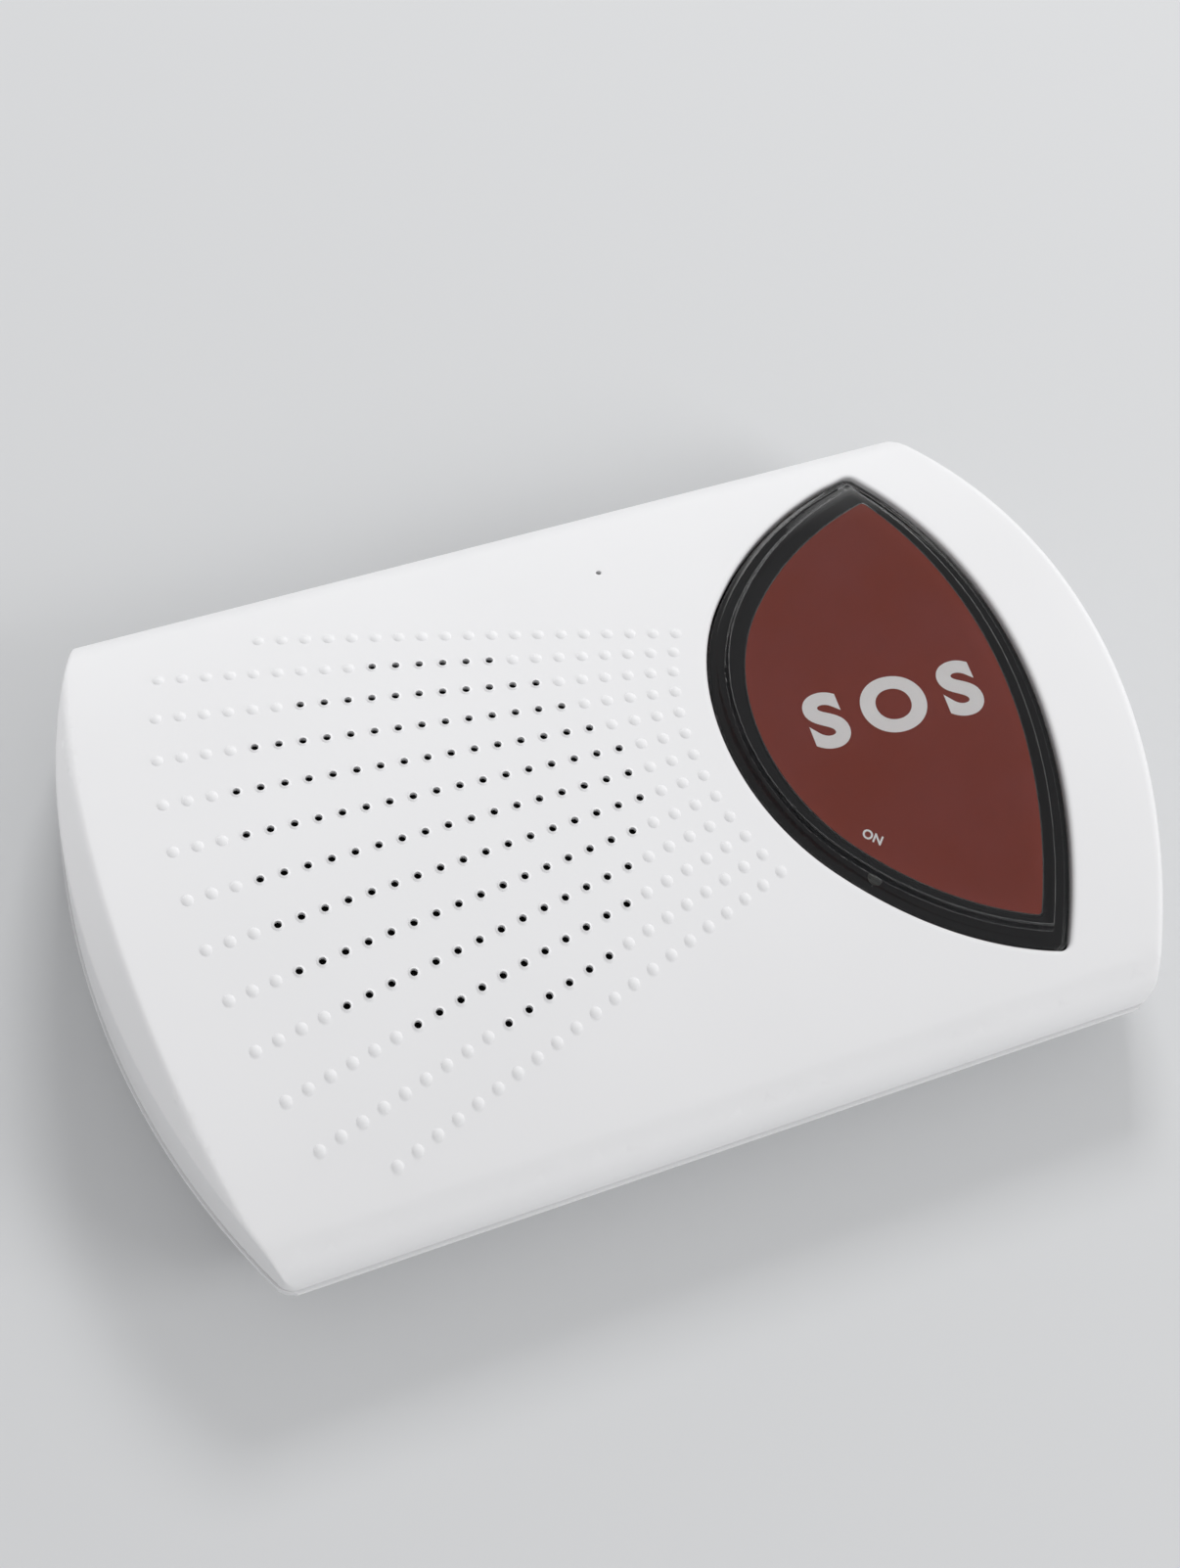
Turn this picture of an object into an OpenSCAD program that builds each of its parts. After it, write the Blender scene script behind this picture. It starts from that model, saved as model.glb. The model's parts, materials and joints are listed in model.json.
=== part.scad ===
// Medical alert base station
// A crowned two-part case with a leaf-shaped help button, a dotted speaker grille, a battery
// back-up and a connector bay at the back. Millimetres, +Z up, the feet stand on z = 0.

/* [View] */
// Piece to draw, or all of them
// Facets of a full circle in the preview
$fn = 72; // [24:8:160]

/* [Case] */
// Width of the top cover across its straight sides
cover_width = 120; // [116:1:126]
// Height of the crown line above the table
crown_height = 36; // [35:0.5:40]
// Radius of the crown about the length axis
crown_radius = 128; // [120:1:150]
// Radius of the long front and back edges
edge_radius = 11; // [9:0.5:12]
// Farthest point of the left end from the middle
left_reach = 92.55; // [90:0.05:96]
// Farthest point of the right end from the middle
right_reach = 92.6; // [90:0.05:96]
// Radius of the left end seen from above
left_end_radius = 131; // [120:1:150]
// Radius of the right end seen from above
right_end_radius = 139; // [120:1:150]
// Radius that the corners seen from above come near to
corner_radius = 3; // [1:0.5:5]
// Height of the line where the two covers meet
parting_height = 13.6; // [13:0.1:14.5]
// How far the rim of the bottom cover stands out
rim_step = 0.4; // [0.2:0.1:0.8]
// Height of the upright band of that rim
rim_band = 1.2; // [0.8:0.1:2]
// Wall of the top cover
cover_wall = 2.4; // [2:0.1:2.8]
// Wall of the bottom cover
base_wall = 2.2; // [1.8:0.1:2.6]
// Depth of the shadow gap between the covers
shadow_depth = 0.8; // [0.4:0.1:1.2]
// Height of the shadow gap between the covers
shadow_height = 0.4; // [0.2:0.1:0.6]

/* [Left bevel] */
// Height of the lower edge of the bevel in the middle
bevel_height = 31.16; // [30:0.1:34]
// Rise of the bevel per millimetre of length
bevel_rise = 1.1; // [0.9:0.05:1.4]
// Radius of the bevel across its slope
bevel_radius = 117; // [110:1:140]

/* [Grille] */
// Angle between two rows of dots
row_angle = 3.1; // [2.8:0.05:3.4]
// Distance between two dots of a row
dot_pitch = 4; // [3.8:0.05:4.2]
// From the right end to the centre of the fan
fan_in = 2.6; // [1:0.1:5]
// Radius of the arc on which the rows begin
start_radius = 46.1; // [44:0.1:48]
// From the right end to the centre of that arc
start_in = 34.2; // [32:0.1:37]
// Diameter of a drilled dot
hole_d = 1.3; // [1:0.1:1.6]
// Centre of the speaker along the length
speaker_x = -32; // [-34:0.5:-30]
// Radius of the circle inside which the dots are drilled
drilled_radius = 34.6; // [33:0.1:36]
// Centre of that circle along the length
drilled_x = -33; // [-34:0.1:-32]
// Microphone hole from the middle
mic_x = 12.05; // [10:0.05:14]
// Microphone hole from the length axis
mic_y = 42; // [40:0.5:44]

/* [Help button] */
// From the right end to the nose of the button opening
nose_in = 73.7; // [72:0.1:75]
// Radius of the nose
nose_radius = 42; // [40:0.5:44]
// Half angle of the nose arc
nose_half = 40; // [36:1:44]
// Radius of the two flanks
flank_radius = 68; // [66:0.5:70]
// From the right end to the right-most point of the opening
leaf_right_in = 16; // [15:0.1:18]
// Radius of the right side
leaf_right_radius = 100; // [96:1:104]
// Gap between the button and its opening
button_gap = 0.4; // [0.3:0.05:0.6]
// Width of the low rim of the clear cap
rim_width = 3; // [2:0.1:4]
// How far that rim lies below the cover
rim_sink = 0.8; // [0.4:0.1:1]
// How far the raised middle stands above the cover
cap_rise = 1.2; // [0.8:0.1:1.6]
// Travel of the button
button_travel = 1; // [0.6:0.1:1.2]
// From the right end to the nose of the printed label
label_nose_in = 65.9; // [64:0.1:67]
// From the right end to the right-most point of the printed label
label_right_in = 23.1; // [22:0.1:25]
// Radius of the light rod beside the small word
light_radius = 1.3; // [1:0.1:1.5]
// From the right end to the light rod
light_in = 57.6; // [56:0.1:59]
// Light rod from the length axis
light_y = -28.9; // [-30:0.1:-28]

/* [Boards and power] */
// Thickness of the circuit boards
board_thick = 1.6; // [1.2:0.1:1.6]
// Height of the underside of the main board
board_z = 5.5; // [5.3:0.1:5.8]
// Diameter of a battery cell
cell_d = 10.5; // [10:0.1:10.6]
// Length of a battery cell
cell_length = 44; // [43:0.5:44.5]
// Number of battery cells
cell_count = 4; // [3:1:4]
// Centre of the power jack from the middle
jack_x = -6; // [-8:0.5:-4]
// Bore of the power jack
jack_bore = 5.6; // [5.5:0.05:5.8]
// Depth of that bore
jack_depth = 9.4; // [9:0.1:9.5]
// Left end of the switch knob from the middle
knob_x = 9; // [8:0.5:10]
// Travel of the power switch
switch_travel = 3; // [2:0.5:3]

/* [Feet and screws] */
// Radius of a foot
foot_radius = 6; // [5:0.5:7]
// Height of a foot below the bottom cover
foot_height = 1.4; // [1:0.1:2]
// Depth of the pocket that holds a foot
foot_pocket = 0.8; // [0.6:0.1:1]
// Radius of a case screw thread
case_thread = 1.25; // [1:0.05:1.5]
// Radius of a board screw thread
board_thread = 0.9; // [0.8:0.05:1]
// Air around a thread in its hole
thread_air = 0.05; // [0.02:0.01:0.1]

/* [Hidden] */
half_width = cover_width / 2;
fan_x = right_reach - fan_in;
start_x = right_reach - start_in;
nose_x = right_reach - nose_in;
leaf_right = right_reach - leaf_right_in;
label_nose = right_reach - label_nose_in;
label_right = right_reach - label_right_in;
light_x = right_reach - light_in;
crown_z = crown_height - crown_radius;
edge_y = half_width - edge_radius;
edge_z = crown_z + sqrt(pow(crown_radius - edge_radius, 2) - pow(edge_y, 2));
left_cx = left_end_radius - left_reach;
right_cx = right_reach - right_end_radius;
inner_crown = crown_radius - cover_wall;
base_z = foot_height;
floor_z = base_z + base_wall;
base_slope = 10.4 / 11;
base_lean = sqrt(1 + base_slope * base_slope);
end_slope = 0.58;
end_lean = sqrt(1 + end_slope * end_slope);
band_z = parting_height - rim_band;
bevel_n = sqrt(1 + bevel_rise * bevel_rise);
board_top = board_z + board_thick;
// the help button, as radii about the crown's axis
rim_r = crown_radius - rim_sink;
cap_r = crown_radius + cap_rise;
carrier_r = crown_radius - 2.1;
carrier_low = crown_radius - 4.1;
flange_r = inner_crown - 0.3;
platform_r = crown_radius - 1.1;
label_r = platform_r + 0.15;
post_y = 38;
post_r = 2.5;
post_air = 0.08;
switch_x = right_reach - 44.6;
post_x = switch_x + 8;
switch_y = 14;
frame_low = 17;
frame_top = 19;
press_z = frame_top + board_thick;
stem_top = press_z + 6.4;
// the speaker
ring_low = 26;
gasket_low = 25.4;
basket_top = gasket_low;
basket_low = 15.5;
yoke_low = 10;
ear_reach = 41;
// the battery bay
bay = [24, 72];
bay_half = 22.2;
bay_top = 15.2;
bay_wall = 1.6;
door = [15, 75];
door_half = 25;
door_thick = 1.6;
door_air = 0.2;
door_top = base_z + door_thick;
pad_top = door_top + 0.9;
sleeve = 0.25;
pack_low = pad_top;
cell_z = pack_low + sleeve + 0.05 + cell_d / 2;
cell_pitch = cell_d + 0.1;
cell_x = 26;
pack_half = cell_pitch * (cell_count - 1) / 2 + cell_d / 2 + sleeve + 0.05;
// the connector bay
panel_y = half_width - 11;
panel_thick = 2;
nook = [-18, 24];
nook_low = 5.7;
nook_top = 18;
nook_wall = 1.8;
nook_roof = 1.2;
jack_z = board_top + 5;
knob_z = board_top + 2.5;
switch_box = [6, 18];
// places in plan
antenna_y = half_width - 7.6;
cable_y = half_width - 10;
screw_y = half_width - 19;
foot_y = half_width - 18;
screw_x = [-left_reach + 21.55, right_reach - 17.6];
foot_x = [-left_reach + 34.55, right_reach - 32.6];
case_screws_at = [for (x = screw_x) for (s = [1, -1]) [x, s * screw_y]];
feet_at = [for (x = foot_x) for (s = [1, -1]) [x, s * foot_y]];
board_screws_at = [[-58, 30], [-58, -34], [10, 35], [10, -34]];
frame_x = [switch_x - 22, switch_x + 22, switch_x + 36];
frame_screws_at = [[frame_x[0] + 3, 36], [frame_x[0] + 3, -36], [frame_x[2] - 3, 20],
  [frame_x[2] - 3, -20]];
panel_x = [switch_x - 17, switch_x + 18];
panel_screws_at = [[panel_x[0] + 3, 23], [panel_x[1] - 3, 23], [panel_x[1] - 3, -29]];
well_top = 8;
board = [-62, 14];
board_y = [-38, panel_y - 0.4];

// ---- shared shapes ----

module along_x(x0, x1) {
  translate([x0, 0, 0])
    rotate([90, 0, 90])
      linear_extrude(height = x1 - x0)
        children();
}

module box(x, y, z) {
  translate([x[0], y[0], z[0]])
    cube([x[1] - x[0], y[1] - y[0], z[1] - z[0]]);
}

module rod(x, y, z0, z1, r) {
  translate([x, y, z0])
    cylinder(r = r, h = z1 - z0);
}

module crown(r) {
  translate([-120, 0, crown_z])
    rotate([0, 90, 0])
      cylinder(r = r, h = 240, $fn = 360);
}

// a round wire from point to point
module wire(points, r) {
  for (i = [0 : len(points) - 2]) {
    d = points[i + 1] - points[i];
    length = norm(d);
    translate(points[i])
      rotate([0, acos(d[2] / length), atan2(d[1], d[0])])
        cylinder(r = r, h = length, $fn = 24);
    if (i > 0)
      translate(points[i])
        sphere(r = r * 1.06, $fn = 24);
  }
}

// what takes the two corners off one end: cx and r are the end's arc, side is -1 or 1
module corner_cut(cx, r, hw, side) {
  a = asin(hw / r);
  t = corner_radius * tan((90 - a) / 2);
  x0 = sqrt(r * r - hw * hw);
  p = [x0 - t, hw];
  q = [x0 + t * sin(a), hw - t * cos(a)];
  m = (p * p - q * q) / (2 * (p[0] - q[0]));
  translate([cx + side * m, 0])
    circle(r = norm([p[0] - m, p[1]]), $fn = 360);
  translate([cx + side * m - (side > 0 ? 200 : 0), -80])
    square([200, 160]);
}

// the case seen from above, drawn in by inset
module plan(inset) {
  hw = half_width - inset;
  intersection() {
    translate([-100, -hw])
      square([200, 2 * hw]);
    translate([left_cx, 0])
      circle(r = left_end_radius - inset, $fn = 360);
    translate([right_cx, 0])
      circle(r = right_end_radius - inset, $fn = 360);
    corner_cut(left_cx, left_end_radius - inset, hw, -1);
    corner_cut(right_cx, right_end_radius - inset, hw, 1);
  }
}

// the cover seen from its end, drawn in by inset
module cover_section(inset) {
  wedge = 1.4;
  intersection() {
    translate([0, crown_z])
      circle(r = crown_radius - inset, $fn = 360);
    polygon([[0, crown_z], [edge_y * wedge, crown_z + (edge_z - crown_z) * wedge],
      [-edge_y * wedge, crown_z + (edge_z - crown_z) * wedge]]);
  }
  translate([-edge_y, 0])
    square([2 * edge_y, edge_z]);
  translate([-half_width + inset, 0])
    square([2 * (half_width - inset), edge_z]);
  for (s = [-1, 1])
    translate([s * edge_y, edge_z])
      rotate(-90)
        circle(r = edge_radius - inset);
}

// the solid that the top cover is cut from
module cover_solid(inset, z0) {
  intersection() {
    along_x(-110, 110)
      cover_section(inset);
    translate([0, 0, z0])
      linear_extrude(height = 60)
        plan(inset);
    translate([-left_reach + bevel_rise / bevel_n * bevel_radius, 0,
      bevel_height - bevel_radius / bevel_n])
      rotate([0, atan2(1, bevel_rise), 0])
        cylinder(r = bevel_radius - inset, h = 500, center = true, $fn = 360);
  }
}

// a leaf with its nose to the left, drawn in by inset
module leaf(nose, r_nose, half, r_flank, right, r_right, inset, tip) {
  cx1 = nose + r_nose;
  cx2 = cx1 + (r_flank - r_nose) * cos(half);
  cy2 = (r_flank - r_nose) * sin(half);
  cxr = right - r_right;
  a = r_flank - inset - tip;
  b = r_right - inset - tip;
  dx = cx2 - cxr;
  dd = norm([dx, cy2]);
  m = (b * b - a * a + dd * dd) / (2 * dd);
  h = sqrt(b * b - m * m);
  tx = cxr + m * dx / dd + h * cy2 / dd;
  ty = h * dx / dd - m * cy2 / dd;
  // the tips end on one arc about the middle of the leaf
  mid = (nose + right) / 2;
  reach = norm([tx - mid, ty]) + tip;
  intersection() {
    translate([cx2, -cy2])
      circle(r = r_flank - inset, $fn = 240);
    translate([cx2, cy2])
      circle(r = r_flank - inset, $fn = 240);
    translate([cxr, 0])
      circle(r = r_right - inset, $fn = 300);
    translate([mid, 0])
      circle(r = reach, $fn = 240);
    union() {
      translate([cx1, 0])
        circle(r = r_nose - inset, $fn = 180);
      translate([cx1 - (r_nose - inset) * cos(half), -80])
        square([160, 160]);
    }
  }
}

module opening_leaf(inset) {
  leaf(nose_x, nose_radius, nose_half, flank_radius, leaf_right, leaf_right_radius, inset,
    max(2 - inset, 0.6));
}

module label_leaf(inset) {
  leaf(label_nose, 37, 42, 72, label_right, 128, inset, 0.8);
}

// a column with the shape of the opening, topped by the crown at this radius
module leaf_column(inset, top) {
  intersection() {
    linear_extrude(height = 60)
      opening_leaf(inset);
    crown(top);
  }
}

module label_column(inset, top) {
  intersection() {
    linear_extrude(height = 60)
      label_leaf(inset);
    crown(top);
  }
}

// where dot j of row i stands
function row_start(i) =
  (fan_x - start_x) * cos((i - 6) * row_angle)
  + sqrt(pow(start_radius, 2) - pow((fan_x - start_x) * sin((i - 6) * row_angle), 2));
function dot_at(i, j) =
  [fan_x - (row_start(i) + dot_pitch * j) * cos((i - 6) * row_angle),
   -(row_start(i) + dot_pitch * j) * sin((i - 6) * row_angle)];
function dots_in(i) = i == 0 ? 19 : i == 12 ? 21 : 23;
function drilled(i, j) =
  i > 0 && i < 12 && norm(dot_at(i, j) - [drilled_x, 0]) < drilled_radius;

// the solid that the bottom cover is cut from
module base_solid(inset, z0, z1) {
  top_half = half_width + rim_step - inset;
  slope_half = half_width + rim_step - (inset > 0 ? inset * base_lean : 0);
  knee = inset > 0 ? band_z + (top_half - slope_half) / base_slope : band_z;
  low_half = slope_half - (band_z - z0) * base_slope;
  cut = inset > 0 ? inset * end_lean : 0;
  intersection() {
    along_x(-110, 110)
      polygon([[-top_half, z1], [top_half, z1], [top_half, knee], [low_half, z0],
        [-low_half, z0], [-top_half, knee]]);
    linear_extrude(height = 60)
      plan(inset - rim_step);
    translate([left_cx, 0, z0])
      cylinder(r1 = left_end_radius + rim_step - cut - (band_z - z0) * end_slope,
        r2 = left_end_radius + rim_step - cut + (z1 - band_z) * end_slope, h = z1 - z0);
    translate([right_cx, 0, z0])
      cylinder(r1 = right_end_radius + rim_step - cut - (band_z - z0) * end_slope,
        r2 = right_end_radius + rim_step - cut + (z1 - band_z) * end_slope, h = z1 - z0);
  }
}

module screw(x, y, z, thread, length, head, head_high, up) {
  translate([x, y, z])
    mirror([0, 0, up ? 1 : 0]) {
      translate([0, 0, -length])
        cylinder(r = thread, h = length + 0.1, $fn = 32);
      difference() {
        cylinder(r = head, h = head_high, $fn = 40);
        translate([0, 0, head_high - 0.7])
          for (a = [0, 90])
            rotate([0, 0, a])
              translate([-head * 0.6, -0.3, 0])
                cube([head * 1.2, 0.6, 1]);
      }
    }
}

// ---- case ----

module cover_bosses() {
  for (p = case_screws_at)
    rod(p[0], p[1], well_top + 0.1, 40, 3.8);
  for (p = frame_screws_at)
    rod(p[0], p[1], frame_top, 40, 3);
  difference() {
    rod(speaker_x, 0, ring_low, 40, 37.6);
    rod(speaker_x, 0, ring_low - 1, 41, 35.6);
  }
  for (a = [45 : 90 : 315])
    rod(speaker_x + ear_reach * cos(a), ear_reach * sin(a), basket_top, 40, 3.2);
  rod(mic_x, mic_y, 19.5, 40, 5.2);
  for (s = [-1, 1])
    box([s * 31 - 1.2, s * 31 + 1.2], [-half_width + 1, -half_width + 9], [16, 30]);
}

module top_cover() {
  color([0.93, 0.93, 0.92])
    difference() {
      union() {
        difference() {
          cover_solid(0, parting_height);
          cover_solid(cover_wall, 0);
        }
        intersection() {
          cover_solid(cover_wall - 0.4, 0);
          cover_bosses();
        }
      }
      // shadow gap above the rim
      translate([0, 0, parting_height - 1])
        linear_extrude(height = 1 + shadow_height)
          difference() {
            square([220, 160], center = true);
            plan(shadow_depth);
          }
      linear_extrude(height = 60)
        opening_leaf(0);
      for (i = [0 : 12])
        for (j = [0 : dots_in(i) - 1])
          if (drilled(i, j))
            rod(dot_at(i, j)[0], dot_at(i, j)[1], 20, 40, hole_d / 2, $fn = 16);
      // microphone
      rod(mic_x, mic_y, 19, 24.4, 4.2);
      rod(mic_x, mic_y, 24, 40, 0.5, $fn = 16);
      // pilot holes
      for (p = case_screws_at)
        rod(p[0], p[1], 7, 20, case_thread + thread_air, $fn = 32);
      for (p = frame_screws_at)
        rod(p[0], p[1], 18, 25.5, board_thread + thread_air, $fn = 32);
      for (a = [45 : 90 : 315])
        rod(speaker_x + ear_reach * cos(a), ear_reach * sin(a), 25, 29.5,
          board_thread + thread_air, $fn = 32);
      // grooves that hold the ends of the flat antenna
      box([-30.7, 30.7], [-53.5, -52.3], [14, 21.4]);
      // notch for the connector bay
      box([nook[0] - 0.2, nook[1] + 0.2], [panel_y - 0.2, 70], [0, nook_top + 0.2]);
    }
}

module bottom_cover() {
  color([0.91, 0.91, 0.9])
    difference() {
      union() {
        difference() {
          base_solid(0, base_z, parting_height);
          base_solid(base_wall, floor_z, parting_height + 1);
        }
        // lip inside the top cover
        difference() {
          translate([0, 0, parting_height - 2])
            linear_extrude(height = 3.6)
              difference() {
                plan(cover_wall + 0.2);
                plan(cover_wall + 1.4);
              }
          for (p = case_screws_at)
            rod(p[0], p[1], 9, 20, 4.2);
        }
        for (p = case_screws_at)
          rod(p[0], p[1], base_z, well_top, 5);
        for (p = board_screws_at)
          rod(p[0], p[1], floor_z - 0.5, board_z, 2.8);
        // battery bay
        box([bay[0] - bay_wall, bay[1] + bay_wall], [-bay_half - bay_wall, bay_half + bay_wall],
          [base_z, bay_top + 1.4]);
        box([door[0] - 2, door[1] + 2.6], [-door_half - 2, door_half + 2], [base_z, floor_z + 1.2]);
        rod(19, 0, base_z, 9, 2.6);
        // connector bay
        box(nook, [panel_y, panel_y + 8], [nook_low, nook_top]);
        box(nook, [panel_y, panel_y + panel_thick], [2, nook_top]);
      }
      // everything outside the sloped wall below the band goes
      difference() {
        box([-100, 100], [49, 62], [0, band_z]);
        base_solid(0, base_z, parting_height);
      }
      // screw wells
      for (p = case_screws_at) {
        rod(p[0], p[1], 0, 6, 3.5);
        rod(p[0], p[1], 0, 9, case_thread + 0.35, $fn = 32);
      }
      for (p = feet_at)
        rod(p[0], p[1], 0, base_z + foot_pocket, foot_radius + 0.1);
      for (p = board_screws_at)
        rod(p[0], p[1], floor_z - 0.6, board_z + 1, board_thread + thread_air, $fn = 32);
      // battery bay and its door
      box(bay, [-bay_half, bay_half], [0, bay_top]);
      box([door[0] - door_air, door[1] + door_air], [-door_half - door_air, door_half + door_air],
        [0, door_top]);
      for (s = [-1, 1])
        box([door[1], door[1] + 2.1], [s * 15 - 3.2, s * 15 + 3.2], [base_z + 0.5, door_top]);
      rod(19, 0, 0, 8, board_thread + thread_air, $fn = 32);
      box([bay[0] - 3, bay[0] + 1], [-15, -9], [11, 14]);
      // connector bay
      box([nook[0] + nook_wall, nook[1] - nook_wall], [panel_y + panel_thick, 70],
        [nook_low + nook_wall, nook_top - nook_roof]);
      translate([jack_x, panel_y - 1, jack_z])
        rotate([-90, 0, 0])
          cylinder(r = 4.4, h = 5);
      box([knob_x - 0.2, knob_x + 3 + switch_travel + 0.2], [panel_y - 1, panel_y + 3],
        [knob_z - 1.4, knob_z + 1.4]);
      // place of the rating label
      box([-51, 1], [-16, 16], [0, base_z + 0.2]);
    }
}

module battery_door() {
  color([0.91, 0.91, 0.9])
    difference() {
      union() {
        box(door, [-door_half, door_half], [base_z, door_top]);
        for (s = [-1, 1])
          box([door[1] - 1, door[1] + 1.8], [s * 15 - 3, s * 15 + 3], [base_z + 0.6, door_top]);
      }
      rod(19, 0, 0, 5, board_thread + 0.3, $fn = 32);
      rod(19, 0, 0, base_z + 0.9, 2.1, $fn = 32);
      // finger grips
      for (i = [0 : 4])
        box([64 + 2 * i, 65 + 2 * i], [-8, 8], [0, base_z + 0.4]);
    }
}

module door_screw() {
  color([0.6, 0.6, 0.62])
    screw(19, 0, base_z + 0.9, board_thread, 4.6, 1.9, 0.8, true);
}

module rubber_feet() {
  color([0.12, 0.12, 0.12])
    for (p = feet_at)
      rod(p[0], p[1], 0, base_z + foot_pocket, foot_radius);
}

module case_screws() {
  color([0.6, 0.6, 0.62])
    for (p = case_screws_at)
      screw(p[0], p[1], 6, case_thread, 12, 3.1, 2.2, true);
}

module rating_label() {
  color([0.8, 0.8, 0.8])
    box([-50, 0], [-15, 15], [base_z + 0.05, base_z + 0.2]);
}

// ---- help button ----

module button_lens() {
  color([0.75, 0.77, 0.78, 0.5])
    difference() {
      union() {
        leaf_column(button_gap, rim_r);
        leaf_column(button_gap + rim_width, cap_r);
      }
      crown(carrier_r);
      label_column(-0.15, label_r + 0.05);
    }
}

module button_label() {
  color([0.47, 0.2, 0.18])
    difference() {
      label_column(0.1, label_r);
      crown(platform_r);
    }
}

module button_carrier() {
  color([0.1, 0.1, 0.11])
    difference() {
      union() {
        difference() {
          union() {
            leaf_column(button_gap, carrier_r);
            leaf_column(-1.6, flange_r);
            label_column(0, platform_r);
          }
          crown(carrier_low);
        }
        intersection() {
          crown(carrier_low + 0.5);
          union() {
            for (s = [-1, 1]) {
              rod(post_x, s * post_y, frame_low - 3, 40, post_r);
              rod(switch_x, s * switch_y, stem_top, 40, 4);
            }
          }
        }
      }
      rod(light_x, light_y, 10, 50, light_radius + 0.05);
    }
}

module status_light_pipe() {
  color([0.8, 0.85, 0.8])
    intersection() {
      crown(carrier_r);
      union() {
        rod(light_x, light_y, press_z + 3, 40, light_radius);
        rod(light_x, light_y, press_z + 3, press_z + 4.4, light_radius + 0.7);
      }
    }
}

module button_frame() {
  color([0.85, 0.85, 0.83])
    difference() {
      union() {
        box([frame_x[0], frame_x[1]], [-44, 44], [frame_low, frame_top]);
        box([frame_x[0], frame_x[2]], [-24, 24], [frame_low, frame_top]);
        for (s = [-1, 1])
          rod(post_x, s * post_y, frame_low, 22.4, 4.5);
      }
      for (s = [-1, 1])
        rod(post_x, s * post_y, 0, 40, post_r + post_air);
      for (p = frame_screws_at)
        rod(p[0], p[1], 0, 40, board_thread + 0.3, $fn = 32);
      for (p = panel_screws_at)
        rod(p[0], p[1], 0, 40, board_thread + thread_air, $fn = 32);
    }
}

module button_frame_screws() {
  color([0.6, 0.6, 0.62])
    for (p = frame_screws_at)
      screw(p[0], p[1], frame_low, board_thread, 7, 1.9, 1.5, true);
}

module button_board() {
  color([0.1, 0.3, 0.16])
    difference() {
      box(panel_x, [-32, 27], [frame_top, press_z]);
      for (p = panel_screws_at)
        rod(p[0], p[1], 0, 40, board_thread + 0.3, $fn = 32);
    }
}

module button_board_screws() {
  color([0.6, 0.6, 0.62])
    for (p = panel_screws_at)
      screw(p[0], p[1], press_z, board_thread, 3.4, 1.8, 1.4, false);
}

module tact_switch_bodies() {
  color([0.15, 0.15, 0.16])
    for (s = [-1, 1])
      difference() {
        box([switch_x - 6, switch_x + 6], [s * switch_y - 6, s * switch_y + 6],
          [press_z, press_z + 4.2]);
        rod(switch_x, s * switch_y, press_z + 1, press_z + 3.4, 4.4);
        rod(switch_x, s * switch_y, press_z + 1, press_z + 5, 3.7);
      }
}

module tact_switch_stems() {
  color([0.75, 0.15, 0.12])
    for (s = [-1, 1]) {
      rod(switch_x, s * switch_y, press_z + 2.3, stem_top, 3.4);
      rod(switch_x, s * switch_y, press_z + 2.3, press_z + 3.1, 4.1);
    }
}

module status_led() {
  color([0.9, 0.95, 0.8])
    box([light_x - 1.6, light_x + 1.6], [light_y - 1.4, light_y + 1.4], [press_z, press_z + 1.9]);
}

// ---- main board ----

module main_board() {
  color([0.1, 0.3, 0.16])
    difference() {
      box(board, board_y, [board_z, board_top]);
      for (p = board_screws_at)
        rod(p[0], p[1], 0, 20, board_thread + 0.3, $fn = 32);
    }
}

module main_board_screws() {
  color([0.6, 0.6, 0.62])
    for (p = board_screws_at)
      screw(p[0], p[1], board_top, board_thread, 3.9, 1.9, 1.5, false);
}

module processor_chip() {
  color([0.12, 0.12, 0.12])
    box([-13, 1], [1, 15], [board_top, board_top + 1.2]);
}

module memory_chip() {
  color([0.12, 0.12, 0.12])
    box([-11, -1], [-13, -5], [board_top, board_top + 1]);
}

module capacitors() {
  color([0.2, 0.2, 0.35])
    for (p = [[-50, 7.1], [-40, 5.1]])
      rod(p[0], board_y[1] - p[1], board_top, board_top + 10.5, 4);
}

module power_inductor() {
  color([0.25, 0.25, 0.25])
    box([-28, -20], [board_y[1] - 9.6, board_y[1] - 1.6], [board_top, board_top + 4]);
}

module cellular_module() {
  color([0.75, 0.75, 0.76])
    box([-61, -40], [-30, -14], [board_top, board_top + 2.2]);
}

module sim_socket() {
  color([0.75, 0.75, 0.76])
    difference() {
      box([-20, 8], [-37.5, -21], [board_top, board_top + 2.2]);
      box([-18.7, 6.7], [-40, -23.3], [board_top + 0.6, board_top + 1.5]);
    }
}

module sim_card() {
  color([0.85, 0.85, 0.85])
    difference() {
      box([-18.5, 6.5], [-38.5, -23.5], [board_top + 0.65, board_top + 1.45]);
      translate([6.5, -23.5, 0])
        rotate([0, 0, 45])
          cube([4.2, 4.2, 60], center = true);
    }
}

module pendant_radio() {
  color([0.75, 0.75, 0.76])
    box([-60, -46], [-6, 12], [board_top, board_top + 2.2]);
}

module pendant_antenna() {
  color([0.8, 0.5, 0.3])
    wire([[-59, 16, board_top], [-59, 16, 14.5], [-59, -12, 14.5]], 0.5);
}

module cellular_antenna() {
  color([0.8, 0.6, 0.2])
    box([-30.5, 30.5], [-antenna_y - 1, -antenna_y], [15.4, 21.2]);
}

module antenna_cable() {
  color([0.1, 0.1, 0.1])
    wire([[-20, -antenna_y, 18], [-20, -cable_y, 18], [-50, -cable_y, 18],
      [-50, -cable_y, board_top + 3.5], [-50, -24, board_top + 3.5], [-50, -24, board_top + 2.2]],
      0.65);
}

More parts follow.
